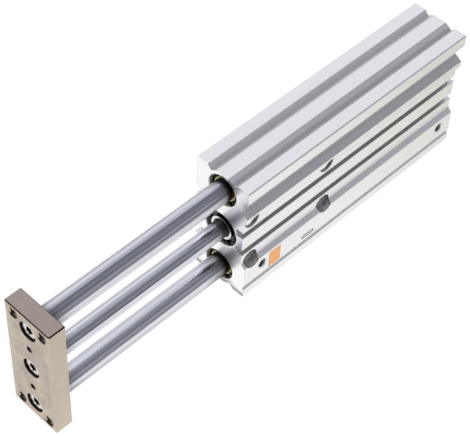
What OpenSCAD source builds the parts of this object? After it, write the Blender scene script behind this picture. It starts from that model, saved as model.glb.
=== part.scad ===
// Guided pneumatic cylinder. A flat extruded body holds a piston bore between two guide bores.
// The piston rod and two guide rods carry an end plate, so the plate travels without turning.
// The rods run along +X, the ported face looks along +Y and the body stands on a narrow side.

/* [Travel] */
// Full travel of the piston and of the end plate
stroke = 100; // [50:5:150]
// Share of the stroke by which the end plate stands out
extension_share = 0.875; // [0:0.025:1]
// Gap between body and end plate when fully retracted
plate_gap = 5; // [4:0.5:8]

/* [Body] */
// Width of the body
body_w = 29; // [28:0.5:31]
// Web left between the piston bore and the mouth of a guide bore
guide_web = 7.4; // [7:0.1:9]
// Wall left outside the ring groove at the mouth of a guide bore
crown_wall = 0.95; // [0.8:0.05:1.5]
// Chamfer along the four long corners of the body
body_chamfer = 0.4; // [0.2:0.1:0.6]
// Rise of the flat crown over the rounded wall of a guide bore
crown_rise = 0.45; // [0.3:0.05:0.6]
// Half width between the flat edges of a narrow side
shoulder_half = 8.4; // [8:0.1:9]
// Depth of the bevelled channel beside each crown
shoulder_depth = 2.1; // [1.8:0.1:2.4]

/* [Broad face] */
// Depth of the sensor recess
recess_depth = 2; // [1.5:0.1:2.2]
// Half height of the floor of the sensor recess
recess_half = 12.3; // [12:0.1:12.8]
// Height taken by the sloped side of the sensor recess
recess_slope = 1.9; // [1.5:0.1:2]
// Distance of each sensor slot from the middle of the body
sensor_offset = 5.3; // [5:0.1:5.8]
// Width of a sensor slot at its mouth
sensor_mouth = 3.2; // [2.8:0.1:3.4]
// Diameter of the round floor of a sensor slot
sensor_d = 3.8; // [3.5:0.1:4]
// Wall left between a sensor slot and the groove of a large retaining ring
slot_wall = 0.4; // [0.3:0.05:0.5]
// Distance from the top of the body down to the deep channel
channel_top = 5.9; // [5.5:0.1:6.4]
// Height of the mouth of the deep channel
channel_mouth = 9.1; // [8.8:0.1:9.6]
// Height of the floor of the deep channel
channel_floor = 4.5; // [4:0.1:5]
// Depth of the deep channel
channel_depth = 3.6; // [3.2:0.1:4]
// Height of the small notch over the underside
notch_low = 4.3; // [4:0.1:4.6]
// Height of the small notch itself
notch_height = 2.6; // [2.4:0.1:2.8]
// Depth of the small notch
notch_depth = 0.7; // [0.6:0.05:0.8]

/* [Slots for nuts] */
// Width of a nut slot at its mouth
nut_slot_mouth = 4.4; // [4.2:0.1:4.6]
// Width of a nut slot inside
nut_slot_width = 7.4; // [7:0.1:7.6]
// Height of the wide inner part of a nut slot
nut_slot_height = 2.5; // [2.2:0.1:2.7]
// Full depth of a nut slot
nut_slot_depth = 6.2; // [6:0.1:6.4]

/* [Mounting holes] */
// Distance of the first hole column from the front of the body
hole_front = 5; // [4.8:0.1:5.4]
// Distance between the two hole columns
hole_span = 44; // [35:1:50]
// Distance of a hole row from the wall of the piston bore
hole_web = 4; // [3.8:0.1:4.2]
// Diameter of the through holes
hole_d = 4.3; // [4:0.1:4.5]
// Diameter of the counterbores on the ported face
hole_seat_d = 8; // [7.6:0.1:8.2]
// Depth of the counterbores below the ported face
hole_seat_depth = 4.5; // [4:0.1:4.8]

/* [Ports] */
// Diameter of a tapped hole before its thread is cut
tap_d = 4.2; // [4:0.1:4.3]
// Distance of the front port from the front of the body
port_front = 11; // [10.8:0.1:11.4]
// Distance of the rear port from the rear of the body
port_rear = 8; // [7.8:0.1:8]
// Height of the ports above the axis of the lower guide bore
port_rise = 4; // [3.6:0.1:4.4]
// Depth of a port
port_depth = 4.5; // [4:0.1:5]
// Distance of the plugged side ports from the ported face
side_port_inset = 4.3; // [4:0.1:4.4]
// Diameter of the drilled air passages
passage_d = 2; // [1.6:0.1:2.2]

/* [Piston bore] */
// Diameter of the piston bore
bore_d = 16; // [15.6:0.1:16.2]
// Step from the piston bore out to the seat of a cover
cover_step = 0.75; // [0.6:0.05:0.8]
// Depth of a retaining ring groove
ring_groove = 0.45; // [0.4:0.05:0.5]
// Thickness of the two large retaining rings
ring_t = 1; // [0.9:0.05:1.05]
// Radial width of a large retaining ring
ring_band = 1.7; // [1.5:0.1:1.9]
// Depth of the ring groove below the front of the body
ring_front = 1.4; // [1.2:0.1:1.6]
// Depth of the ring groove below the rear of the body
ring_rear = 1; // [0.8:0.1:1.2]
// Length of the rod cover's flange
rod_flange = 6.5; // [6.3:0.1:6.8]
// Depth of the rod cover's collar below the front of the body
collar_inset = 0.4; // [0.3:0.1:0.6]
// Wall of that collar
collar_wall = 1.2; // [1:0.1:1.4]
// Gap between the collar and the piston rod, where the lip of the rod seal shows
collar_room = 0.5; // [0.45:0.05:0.6]
// Web of the rod cover in front of the rod seal
seal_web = 0.5; // [0.4:0.05:0.6]
// Length of the head cover's flange
head_flange = 4.2; // [4:0.1:4.5]
// Length of the head cover's nose
head_nose = 2.7; // [2.5:0.1:3]
// Diameter of both noses, smaller than the bore to let the air in
nose_d = 13.6; // [13:0.1:14]
// Width of the groove of a cover gasket
gasket_w = 1.7; // [1.6:0.05:1.8]
// Depth of the groove of a cover gasket
gasket_depth = 1.25; // [1.2:0.05:1.3]

/* [Piston rod and piston] */
// Diameter of the piston rod
rod_d = 8; // [7.8:0.1:8.2]
// Length of the rod bush
rod_bush_l = 7.4; // [7:0.1:7.6]
// Wall of the rod bush
rod_bush_wall = 1.2; // [1:0.1:1.4]
// Radial width of the rod seal
rod_seal_width = 2.2; // [2:0.1:2.4]
// Depth of the seat of the rod seal
rod_seal_w = 2.5; // [2.3:0.1:2.6]
// Gap between the piston and a cover at either end of the stroke
end_gap = 0.2; // [0.1:0.05:0.3]
// Length of the piston without its spigot for the magnet
piston_l = 5; // [4.8:0.1:5.4]
// Diameter of the spigot that carries the magnet
magnet_seat_d = 10; // [9.6:0.1:10.4]
// Length of the magnet
magnet_l = 2.2; // [2:0.1:2.6]
// Thickness of the disc behind the magnet
holder_t = 1.3; // [1.2:0.1:1.6]
// Thickness of the bumpers on the piston
bumper_t = 0.8; // [0.7:0.1:1]
// Width of the piston seal's groove
piston_seal_w = 2.4; // [2.2:0.1:2.6]
// Diameter of the riveted end of the rod
rivet_d = 5; // [4.6:0.1:5.4]

/* [Guide rods] */
// Diameter of the guide rods
guide_d = 10; // [9.8:0.1:10.2]
// Length by which a guide rod stands out behind when retracted
guide_tail = 18.5; // [18:0.5:24]
// Radial width of a wiper
wiper_width = 2.6; // [2.5:0.05:2.65]
// Depth of the recess for the wiper at each guide bore
wiper_seat_depth = 5; // [4.8:0.1:5.2]
// Thickness of a wiper
wiper_t = 2.6; // [2.4:0.1:2.8]
// Radial width of the scraper ring in front of a wiper
scraper_width = 1.1; // [1:0.05:1.2]
// Thickness of a scraper ring
scraper_t = 2; // [1.8:0.1:2.2]
// Length by which a scraper ring stands out of its wiper
scraper_rise = 1; // [0.8:0.1:1.1]
// Thickness of the wire ring that holds a wiper
wire_t = 0.9; // [0.8:0.05:0.95]
// Radial width of that wire ring
wire_band = 0.95; // [0.8:0.05:1.1]
// Wall of a guide bush
bush_wall = 1.5; // [1.3:0.1:1.6]
// Length of one guide bush
bush_l = 14; // [13:0.5:14.5]
// Space between the two bushes of a guide bore
bush_gap = 15; // [13:0.5:16]
// Room round a guide rod in the bore behind the bushes
guide_bore_room = 0.6; // [0.5:0.1:0.8]

/* [End plate] */
// Thickness of the end plate
plate_t = 8; // [7.6:0.2:9]
// Width of the end plate
plate_w = 25; // [24:0.5:27]
// Distance from a guide rod's axis to the end of the plate
plate_end = 8; // [7.5:0.5:9]
// Chamfer along the edges of the end plate
plate_chamfer = 0.4; // [0.3:0.1:0.6]
// Distance of the tapped holes from the long edges of the plate
plate_hole_side = 4.5; // [4:0.1:4.8]
// Distance of the tapped holes from the ends of the plate
plate_hole_end = 4; // [3.8:0.1:4.2]
// Distance between the two locating holes
locating_pitch = 24; // [22:0.5:26]
// Diameter of the locating holes
locating_d = 3; // [2.8:0.1:3.4]

/* [Screws] */
// Diameter of a socket screw's head
screw_head_d = 8.5; // [8.3:0.1:8.6]
// Height of a socket screw's head
screw_head_h = 5; // [4.8:0.1:5.1]
// Width across the flats of the hexagon socket
socket_flats = 4; // [3.8:0.1:4.2]
// Depth of the hexagon socket
socket_depth = 2.6; // [2.4:0.1:2.8]
// Diameter of the counterbore round a screw's head
screw_seat_d = 9; // [8.9:0.1:9.4]
// Depth of that counterbore
screw_seat_depth = 5.7; // [5.5:0.1:5.9]
// Diameter of the clearance hole in the plate
screw_hole_d = 5.5; // [5.3:0.1:5.7]
// Length of a screw under its head
screw_l = 14; // [12:0.5:15]
// Depth of the tapped hole in the end of a rod
rod_tap_depth = 16; // [15.5:0.5:18]

/* [Hidden] */
$fn = 72;

// Radial clearances: a seated piece, a running rod, a sliding seal and the piston itself
seat_gap = 0.02;
run_gap = 0.02;
seal_gap = 0.03;
piston_gap = 0.1;
// Side clearance of a ring or a seal in its groove
groove_gap = 0.1;
// Overrun of every cut beyond the face it opens
overrun = 1;

// Small edges and recesses
bore_chamfer = 0.3;
rod_chamfer = 0.6;
bush_chamfer = 0.4;
tap_chamfer = 0.45;
plate_tap_chamfer = 0.7;
seal_lip = 0.5;
seal_hollow = 0.9;
scraper_bevel = 0.4;
bush_inset = 0.2;
cover_dish_d = 9;
cover_dish_depth = 0.8;
bumper_width = 2.3;
rivet_flare = 0.6;
rivet_flare_l = 0.7;
piston_land = 0.9;
piston_seal_depth = 2.3;
magnet_inset = 0.3;
plug_l = 4;
plug_flats = 2.5;
plug_socket_depth = 1.8;
knurl_chamfer = 0.4;
plate_corner = 0.5;

// The open end of the large retaining rings, with an eye at each side of the gap
ring_gap_angle = 62;
ring_gap_at = -50;
ring_eye_hole_d = 1.5;
ring_eye_room = 0.45;
wire_gap_angle = 28;

// Lengths along X
cover_front = ring_front + ring_t + groove_gap;
rod_seal_start = cover_front + seal_web;
rod_seal_end = rod_seal_start + rod_seal_w;
rod_bush_start = rod_seal_end + bush_chamfer;
rod_cover_end = rod_bush_start + rod_bush_l + bush_inset;
rod_nose = rod_cover_end - cover_front - rod_flange;
head_cover_end = ring_rear + ring_t + groove_gap + head_flange + head_nose;
piston_stack = 2 * bumper_t + holder_t + magnet_l + piston_l;
body_l = rod_cover_end + piston_stack + 2 * end_gap + stroke + head_cover_end;
front_x = body_l / 2;
rear_x = -body_l / 2;
extension = stroke * extension_share;
plate_back = front_x + plate_gap + extension;
plate_front = plate_back + plate_t;
stack_x = rear_x + head_cover_end + end_gap + extension;
holder_x = stack_x + bumper_t;
magnet_x = holder_x + holder_t;
piston_x = magnet_x + magnet_l;
piston_front = piston_x + piston_l;
piston_seal_x = piston_front - piston_land - piston_seal_w;
guide_l = plate_gap + body_l + guide_tail;
cover_shoulder = cover_front + rod_flange;
cover_rear = ring_rear + ring_t + groove_gap;
head_shoulder = cover_rear + head_flange;
bush_end = wiper_seat_depth + 2 * bush_l + bush_gap;
wiper_start = wiper_seat_depth - groove_gap - wiper_t;
scraper_start = wiper_start - scraper_rise;
wire_groove_start = wiper_start - wire_t - 2 * groove_gap;

// The seats round the rods
wiper_seat_d = guide_d + 2 * wiper_width;
bush_d = guide_d + 2 * bush_wall;
guide_bore_d = guide_d + 2 * guide_bore_room;
rod_bush_d = rod_d + 2 * rod_bush_wall;
rod_seal_d = rod_d + 2 * rod_seal_width;

// The section of the body grows from its bores and the walls between them
guide_pitch = 2 * (bore_d / 2 + guide_web + wiper_seat_d / 2);
guide_edge = wiper_seat_d / 2 + ring_groove + crown_wall;
body_h = guide_pitch + 2 * guide_edge;
hole_rows = bore_d + 2 * hole_web;
plate_h = guide_pitch + 2 * plate_end;
plate_holes_w = plate_w - 2 * plate_hole_side;
plate_holes_h = plate_h - 2 * plate_hole_end;

// Places across the body, with y = 0 in the middle of the width
mid_z = body_h / 2;
face_y = body_w / 2;
upper_z = mid_z + guide_pitch / 2;
lower_z = mid_z - guide_pitch / 2;
port_z = lower_z + port_rise;
side_port_y = face_y - side_port_inset;
recess_y = face_y - recess_depth;

// Radii
bore_r = bore_d / 2;
cover_r = bore_r + cover_step;
ring_r = cover_r + ring_groove;
rod_r = rod_d / 2;
collar_bore_r = rod_r + collar_room;
collar_r = collar_bore_r + collar_wall;
guide_r = guide_d / 2;
piston_r = bore_r - piston_gap;
wiper_r = wiper_seat_d / 2;
crown_r = guide_edge + crown_rise;
scraper_r = guide_r + run_gap + scraper_width;
tap_r = tap_d / 2;

// The sensor slots lie as deep as the grooves of the retaining rings allow
sensor_y = sqrt(pow(ring_r + slot_wall + sensor_d / 2, 2) - pow(sensor_offset, 2));

// A round bar or hole along X
module bar_x(x0, x1, r, z) {
    translate([x0, 0, z])
        rotate([0, 90, 0])
            cylinder(r = r, h = x1 - x0);
}

// The bevel at the mouth of a hole along X, with its wide end at x
module mouth_x(x, r, z, bevel, way) {
    translate([x, 0, z])
        rotate([0, 90 * way, 0])
            translate([0, 0, -overrun])
                cylinder(r1 = r + bevel + overrun, r2 = r, h = bevel + overrun);
}

// A turned piece about X: each point is a radius and a distance from x
module turned_x(x, z, points) {
    translate([x, 0, z])
        rotate([0, 90, 0])
            rotate_extrude()
                polygon(points);
}

// A flat shape, drawn in y and z, carried along X
module along_x(x0, x1) {
    translate([x0, 0, 0])
        rotate([90, 0, 90])
            linear_extrude(x1 - x0)
                children();
}

// The slice of a full circle that leaves a ring open
module gap_slice(r, angle, at) {
    polygon([
        [0, 0],
        2 * r * [cos(at - angle / 2), sin(at - angle / 2)],
        2 * r * [cos(at + angle / 2), sin(at + angle / 2)]
    ]);
}

// A flat rectangle with bevelled corners, centred on y = 0
module bevelled_rect(w, h, z0, bevel) {
    polygon([
        [-w / 2 + bevel, z0], [w / 2 - bevel, z0], [w / 2, z0 + bevel], [w / 2, z0 + h - bevel],
        [w / 2 - bevel, z0 + h], [-w / 2 + bevel, z0 + h], [-w / 2, z0 + h - bevel], [-w / 2, z0 + bevel]
    ]);
}

// One bevelled channel pair beside the crown of a narrow side, drawn at the top
module crown_channels() {
    difference() {
        polygon([
            [-shoulder_half - overrun, body_h + overrun], [shoulder_half + overrun, body_h + overrun],
            [shoulder_half - shoulder_depth, body_h - shoulder_depth],
            [-shoulder_half + shoulder_depth, body_h - shoulder_depth]
        ]);
        translate([0, upper_z]) circle(r = crown_r);
    }
}

module deep_channel() {
    top_z = body_h - channel_top;
    slope = (channel_mouth - channel_floor) / 2;
    polygon([
        [face_y + overrun, top_z], [face_y, top_z], [face_y - channel_depth, top_z - slope],
        [face_y - channel_depth, top_z - slope - channel_floor],
        [face_y, top_z - channel_mouth], [face_y + overrun, top_z - channel_mouth]
    ]);
}

module sensor_recess() {
    edge = recess_half + recess_slope;
    polygon([
        [face_y + overrun, mid_z + edge], [face_y, mid_z + edge], [recess_y, mid_z + recess_half],
        [recess_y, mid_z - recess_half], [face_y, mid_z - edge], [face_y + overrun, mid_z - edge]
    ]);
    for (side = [-1, 1])
        translate([sensor_y, mid_z + side * sensor_offset]) {
            circle(d = sensor_d);
            translate([0, -sensor_mouth / 2]) square([sensor_d, sensor_mouth]);
        }
}

module small_notch() {
    polygon([
        [face_y + overrun, notch_low], [face_y, notch_low],
        [face_y - notch_depth, notch_low + notch_depth],
        [face_y, notch_low + notch_height], [face_y + overrun, notch_low + notch_height]
    ]);
}

module nut_slot(z) {
    translate([-face_y - overrun, z - nut_slot_mouth / 2])
        square([nut_slot_depth + overrun, nut_slot_mouth]);
    translate([-face_y + nut_slot_depth - nut_slot_height, z - nut_slot_width / 2])
        square([nut_slot_height, nut_slot_width]);
}

// The cross section that the body is extruded with
module body_section() {
    difference() {
        bevelled_rect(body_w, body_h, 0, body_chamfer);
        crown_channels();
        translate([0, body_h]) mirror([0, 1]) crown_channels();
        deep_channel();
        sensor_recess();
        small_notch();
        for (side = [-1, 1]) nut_slot(mid_z + side * hole_rows / 2);
    }
}

module piston_bore() {
    bar_x(rear_x - overrun, front_x + overrun, bore_r, mid_z);
    bar_x(front_x - cover_shoulder, front_x + overrun, cover_r, mid_z);
    bar_x(rear_x - overrun, rear_x + head_shoulder, cover_r, mid_z);
    bar_x(front_x - cover_front, front_x - ring_front, ring_r, mid_z);
    bar_x(rear_x + ring_rear, rear_x + cover_rear, ring_r, mid_z);
    mouth_x(front_x, cover_r, mid_z, bore_chamfer, -1);
    mouth_x(rear_x, cover_r, mid_z, bore_chamfer, 1);
}

module guide_bore(z) {
    bar_x(rear_x - overrun, front_x + overrun, guide_bore_d / 2, z);
    bar_x(front_x - bush_end, front_x + overrun, bush_d / 2, z);
    bar_x(front_x - wiper_seat_depth, front_x + overrun, wiper_r, z);
    bar_x(front_x - wire_groove_start - wire_t - groove_gap, front_x - wire_groove_start,
        wiper_r + ring_groove, z);
    mouth_x(front_x, wiper_r, z, bore_chamfer, -1);
    mouth_x(rear_x, guide_bore_d / 2, z, bore_chamfer, 1);
}

module mounting_hole(x, z) {
    translate([x, face_y + overrun, z])
        rotate([90, 0, 0])
            cylinder(d = hole_d, h = body_w + 2 * overrun);
    translate([x, face_y + overrun, z])
        rotate([90, 0, 0])
            cylinder(d = hole_seat_d, h = hole_seat_depth + overrun);
}

// A port on the broad face with its passage to the piston bore, and the side port that joins it
module port(x) {
    floor_y = face_y - port_depth;
    passage_l = norm([floor_y, mid_z - port_z]) - bore_r + passage_d / 2;
    translate([x, face_y + overrun, port_z])
        rotate([90, 0, 0])
            cylinder(r = tap_r, h = port_depth + overrun);
    translate([x, face_y, port_z])
        rotate([90, 0, 0])
            translate([0, 0, -overrun])
                cylinder(r1 = tap_r + tap_chamfer + overrun, r2 = tap_r, h = tap_chamfer + overrun);
    translate([x, floor_y, port_z])
        rotate([atan2(floor_y, mid_z - port_z), 0, 0])
            cylinder(d = passage_d, h = passage_l);
    translate([x, side_port_y, -overrun])
        cylinder(r = tap_r, h = port_depth + overrun);
    translate([x, side_port_y, 0])
        cylinder(d = passage_d, h = port_z);
}

module body_block() {
    color([0.86, 0.87, 0.88])
        difference() {
            along_x(rear_x, front_x) body_section();
            piston_bore();
            for (z = [lower_z, upper_z]) guide_bore(z);
            for (column = [0, 1], row = [-1, 1])
                mounting_hole(front_x - hole_front - column * hole_span, mid_z + row * hole_rows / 2);
            port(front_x - port_front);
            port(rear_x + port_rear);
        }
}

// Points of a cover: a grooved flange, a nose and whatever hole or dish is inside
function cover_points(start, flange, nose, way) = [
    [cover_r - seat_gap, way * start],
    [cover_r - seat_gap, way * (start + (flange - gasket_w) / 2)],
    [cover_r - gasket_depth, way * (start + (flange - gasket_w) / 2)],
    [cover_r - gasket_depth, way * (start + (flange + gasket_w) / 2)],
    [cover_r - seat_gap, way * (start + (flange + gasket_w) / 2)],
    [cover_r - seat_gap, way * (start + flange)],
    [nose_d / 2, way * (start + flange)],
    [nose_d / 2, way * (start + flange + nose)]
];

// The rod cover, whose collar reaches forward through the open middle of the retaining ring
module rod_cover() {
    color([0.34, 0.35, 0.37])
        turned_x(front_x, mid_z, concat(
            cover_points(cover_front, rod_flange, rod_nose, -1),
            [
                [rod_bush_d / 2, -rod_cover_end], [rod_bush_d / 2, -rod_bush_start],
                [rod_r + piston_gap, -rod_bush_start], [rod_r + piston_gap, -rod_seal_end],
                [rod_seal_d / 2, -rod_seal_end], [rod_seal_d / 2, -rod_seal_start],
                [collar_bore_r, -rod_seal_start], [collar_bore_r, -collar_inset],
                [collar_r, -collar_inset], [collar_r, -cover_front]
            ]
        ));
}

// A gasket of round section in the groove of a cover, way tells which end it lies at
module cover_gasket(x, start, flange, way) {
    section_r = (gasket_depth - seat_gap) / 2;
    color([0.08, 0.08, 0.09])
        translate([x + way * (start + flange / 2), 0, mid_z])
            rotate([0, 90, 0])
                rotate_extrude()
                    translate([cover_r - gasket_depth / 2, 0]) circle(r = section_r);
}

module rod_cover_gasket() {
    cover_gasket(front_x, cover_front, rod_flange, -1);
}

// A plain bush: bore radius, outer radius, first and last depth behind the front of the body
module bush(z, inner, outer, first, last) {
    turned_x(front_x, z, [
        [inner + bush_chamfer / 2, -first], [outer - bush_chamfer, -first],
        [outer, -first - bush_chamfer], [outer, -last + bush_chamfer], [outer - bush_chamfer, -last],
        [inner + bush_chamfer / 2, -last], [inner, -last + bush_chamfer / 2],
        [inner, -first - bush_chamfer / 2]
    ]);
}

module rod_bush() {
    color([0.66, 0.5, 0.3])
        bush(mid_z, rod_r + run_gap, rod_bush_d / 2 - seat_gap, rod_bush_start,
            rod_bush_start + rod_bush_l);
}

// The rod seal, whose wiping lip fills the bore of the collar
module rod_seal() {
    inner = rod_r + run_gap;
    outer = rod_seal_d / 2 - seat_gap;
    neck = collar_bore_r - seat_gap;
    middle = (inner + outer) / 2;
    first = rod_seal_start + groove_gap;
    last = rod_seal_end - groove_gap;
    color([0.12, 0.12, 0.13])
        turned_x(front_x, mid_z, [
            [inner, -collar_inset - seal_lip], [neck, -collar_inset - seal_lip], [neck, -first],
            [outer, -first], [outer, -last], [middle + seal_lip / 2, -last],
            [middle, -last + seal_hollow], [middle - seal_lip / 2, -last], [inner, -last]
        ]);
}

// A flat retaining ring for a bore, open at one side, with an eye on each end
module retaining_ring(x) {
    outer = ring_r - groove_gap / 2;
    inner = outer - ring_band;
    eye_inner = collar_r + ring_eye_room;
    eye_r = (outer + eye_inner) / 2;
    color([0.8, 0.81, 0.82])
        translate([0, 0, mid_z])
            along_x(x, x + ring_t)
                difference() {
                    union() {
                        difference() {
                            circle(r = outer);
                            circle(r = inner);
                            gap_slice(outer, ring_gap_angle, ring_gap_at);
                        }
                        for (side = [-1, 1])
                            rotate(ring_gap_at + side * ring_gap_angle / 2)
                                translate([eye_r, 0]) circle(d = outer - eye_inner);
                    }
                    for (side = [-1, 1])
                        rotate(ring_gap_at + side * ring_gap_angle / 2)
                            translate([eye_r, 0]) circle(d = ring_eye_hole_d);
                }
}

module front_retaining_ring() {
    retaining_ring(front_x - cover_front + groove_gap / 2);
}

module head_cover() {
    color([0.34, 0.35, 0.37])
        turned_x(rear_x, mid_z, concat(
            cover_points(cover_rear, head_flange, head_nose, 1),
            [
                [0, head_cover_end], [0, cover_rear + cover_dish_depth],
                [cover_dish_d / 2, cover_rear + cover_dish_depth],
                [cover_dish_d / 2 + cover_dish_depth, cover_rear]
            ]
        ));
}

module head_cover_gasket() {
    cover_gasket(rear_x, cover_rear, head_flange, 1);
}

module rear_retaining_ring() {
    retaining_ring(rear_x + ring_rear + groove_gap / 2);
}

module guide_bush(z, place) {
    first = wiper_seat_depth + place * (bush_l + bush_gap);
    color([0.66, 0.5, 0.3])
        bush(z, guide_r + run_gap, bush_d / 2 - seat_gap, first, first + bush_l);
}

module upper_front_bush() {
    guide_bush(upper_z, 0);
}

module upper_rear_bush() {
    guide_bush(upper_z, 1);
}

module lower_front_bush() {
    guide_bush(lower_z, 0);
}

module lower_rear_bush() {
    guide_bush(lower_z, 1);
}

// A wiper that keeps dirt off a guide rod, stepped to hold the scraper ring in front of it
module wiper(z) {
    inner = guide_r + run_gap;
    outer = wiper_r - seat_gap;
    last = wiper_seat_depth - groove_gap;
    step = scraper_start + scraper_t + seat_gap;
    color([0.1, 0.1, 0.11])
        turned_x(front_x, z, [
            [inner + seal_lip, -last], [outer, -last], [outer, -wiper_start],
            [scraper_r + seat_gap, -wiper_start], [scraper_r + seat_gap, -step],
            [inner, -step], [inner, -last + seal_lip]
        ]);
}

module upper_wiper() {
    wiper(upper_z);
}

module lower_wiper() {
    wiper(lower_z);
}

// The metal scraper ring that stands out of a wiper, sharp where it meets the guide rod
module scraper(z) {
    inner = guide_r + run_gap;
    color([0.66, 0.5, 0.3])
        turned_x(front_x, z, [
            [inner, -scraper_start], [scraper_r - scraper_bevel, -scraper_start],
            [scraper_r, -scraper_start - scraper_bevel], [scraper_r, -scraper_start - scraper_t],
            [inner, -scraper_start - scraper_t]
        ]);
}

module upper_scraper() {
    scraper(upper_z);
}

module lower_scraper() {
    scraper(lower_z);
}

// The wire ring in its groove in front of a wiper
module wiper_ring(z) {
    outer = wiper_r + ring_groove - groove_gap / 2;
    x = front_x - wire_groove_start - wire_t - groove_gap / 2;
    color([0.25, 0.25, 0.26])
        translate([0, 0, z])
            along_x(x, x + wire_t)
                difference() {
                    circle(r = outer);
                    circle(r = outer - wire_band);
                    gap_slice(outer, wire_gap_angle, ring_gap_at);
                }
}

module upper_wiper_ring() {
    wiper_ring(upper_z);
}

module lower_wiper_ring() {
    wiper_ring(lower_z);
}

// A cylinder with a six-sided recess, for the socket of a screw or plug
module hexagon(flats, depth) {
    cylinder(d = flats / cos(30), h = depth, $fn = 6);
}

module port_plugs() {
    color([0.3, 0.3, 0.32])
        for (x = [front_x - port_front, rear_x + port_rear])
            translate([x, side_port_y, port_depth - plug_l])
                difference() {
                    cylinder(r = tap_r - seat_gap, h = plug_l - seat_gap);
                    translate([0, 0, -overrun]) hexagon(plug_flats, plug_socket_depth + overrun);
                }
}

// The plate as a block whose twelve edges are bevelled, standing at x = 0
module plate_blank() {
    intersection() {
        translate([0, 0, mid_z - plate_h / 2])
            along_x(0, plate_t) bevelled_rect(plate_w, plate_h, 0, plate_corner);
        translate([plate_t / 2, 0, mid_z - plate_h / 2])
            linear_extrude(plate_h) bevelled_rect(plate_t, plate_w, -plate_w / 2, plate_chamfer);
        translate([plate_t / 2, plate_w / 2, mid_z - plate_h / 2])
            rotate([90, 0, 0])
                linear_extrude(plate_w) bevelled_rect(plate_t, plate_h, 0, plate_chamfer);
    }
}

module end_plate() {
    color([0.74, 0.71, 0.66])
        difference() {
            translate([plate_back, 0, 0]) plate_blank();
            for (z = [lower_z, mid_z, upper_z]) {
                bar_x(plate_back - overrun, plate_front + overrun, screw_hole_d / 2, z);
                bar_x(plate_front - screw_seat_depth, plate_front + overrun, screw_seat_d / 2, z);
            }
            for (side = [-1, 1], row = [-1, 1])
                translate([0, side * plate_holes_w / 2, 0]) {
                    z = mid_z + row * plate_holes_h / 2;
                    bar_x(plate_back - overrun, plate_front + overrun, tap_r, z);
                    mouth_x(plate_front, tap_r, z, plate_tap_chamfer, -1);
                }
            for (row = [-1, 1])
                bar_x(plate_back - overrun, plate_front + overrun, locating_d / 2,
                    mid_z + row * locating_pitch / 2);
        }
}

// The tapped hole in the front end of a rod
module rod_tap(z) {
    bar_x(plate_back - rod_tap_depth, plate_back + overrun, tap_r, z);
}

module piston_rod() {
    color([0.72, 0.73, 0.76])
        difference() {
            turned_x(0, mid_z, [
                [0, holder_x], [rivet_d / 2 + rivet_flare, holder_x],
                [rivet_d / 2, holder_x + rivet_flare_l], [rivet_d / 2, piston_front],
                [rod_r, piston_front], [rod_r, plate_back - rod_chamfer],
                [rod_r - rod_chamfer, plate_back], [0, plate_back]
            ]);
            rod_tap(mid_z);
        }
}

module guide_rod(z) {
    rear = plate_back - guide_l;
    color([0.72, 0.73, 0.76])
        difference() {
            turned_x(0, z, [
                [0, rear], [guide_r - 2 * rod_chamfer, rear], [guide_r, rear + 2 * rod_chamfer],
                [guide_r, plate_back - rod_chamfer], [guide_r - rod_chamfer, plate_back],
                [0, plate_back]
            ]);
            rod_tap(z);
        }
}

module upper_guide_rod() {
    guide_rod(upper_z);
}

module lower_guide_rod() {
    guide_rod(lower_z);
}

// A socket head screw whose head sits in the plate and whose shank fills the tapped rod
module socket_screw(z) {
    under_head = plate_front - screw_seat_depth;
    color([0.82, 0.82, 0.83])
        difference() {
            turned_x(under_head, z, [
                [0, -screw_l], [tap_r - seat_gap - tap_chamfer, -screw_l],
                [tap_r - seat_gap, -screw_l + tap_chamfer], [tap_r - seat_gap, 0],
                [screw_head_d / 2, 0], [screw_head_d / 2, screw_head_h - knurl_chamfer],
                [screw_head_d / 2 - knurl_chamfer, screw_head_h], [0, screw_head_h]
            ]);
            translate([under_head + screw_head_h - socket_depth, 0, z])
                rotate([0, 90, 0])
                    hexagon(socket_flats, socket_depth + overrun);
        }
}

module piston_rod_screw() {
    socket_screw(mid_z);
}

module upper_guide_screw() {
    socket_screw(upper_z);
}

module lower_guide_screw() {
    socket_screw(lower_z);
}

module piston() {
    hole_r = rivet_d / 2 + seat_gap;
    groove_r = piston_r - piston_seal_depth;
    color([0.78, 0.78, 0.78])
        turned_x(0, mid_z, [
            [hole_r, magnet_x], [magnet_seat_d / 2, magnet_x], [magnet_seat_d / 2, piston_x],
            [piston_r, piston_x], [piston_r, piston_seal_x], [groove_r, piston_seal_x],
            [groove_r, piston_seal_x + piston_seal_w], [piston_r, piston_seal_x + piston_seal_w],
            [piston_r, piston_front], [hole_r, piston_front]
        ]);
}

// A seal with a lip towards each side of the piston
module piston_seal() {
    inner = piston_r - piston_seal_depth + seat_gap;
    outer = bore_r - seal_gap;
    first = piston_seal_x + groove_gap;
    last = piston_seal_x + piston_seal_w - groove_gap;
    color([0.12, 0.12, 0.13])
        turned_x(0, mid_z, [
            [inner, first], [outer - seal_lip, first], [outer, first + seal_lip / 2],
            [outer - seal_lip / 2, (first + last) / 2], [outer, last - seal_lip / 2],
            [outer - seal_lip, last], [inner, last]
        ]);
}

module magnet() {
    color([0.2, 0.2, 0.22])
        turned_x(0, mid_z, [
            [magnet_seat_d / 2 + seat_gap, magnet_x], [piston_r - magnet_inset, magnet_x],
            [piston_r - magnet_inset, piston_x], [magnet_seat_d / 2 + seat_gap, piston_x]
        ]);
}

module magnet_holder() {
    hole_r = rivet_d / 2 + seat_gap;
    color([0.78, 0.78, 0.78])
        turned_x(0, mid_z, [
            [hole_r + rivet_flare, holder_x], [piston_r, holder_x], [piston_r, magnet_x],
            [hole_r, magnet_x], [hole_r, holder_x + rivet_flare_l]
        ]);
}

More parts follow.
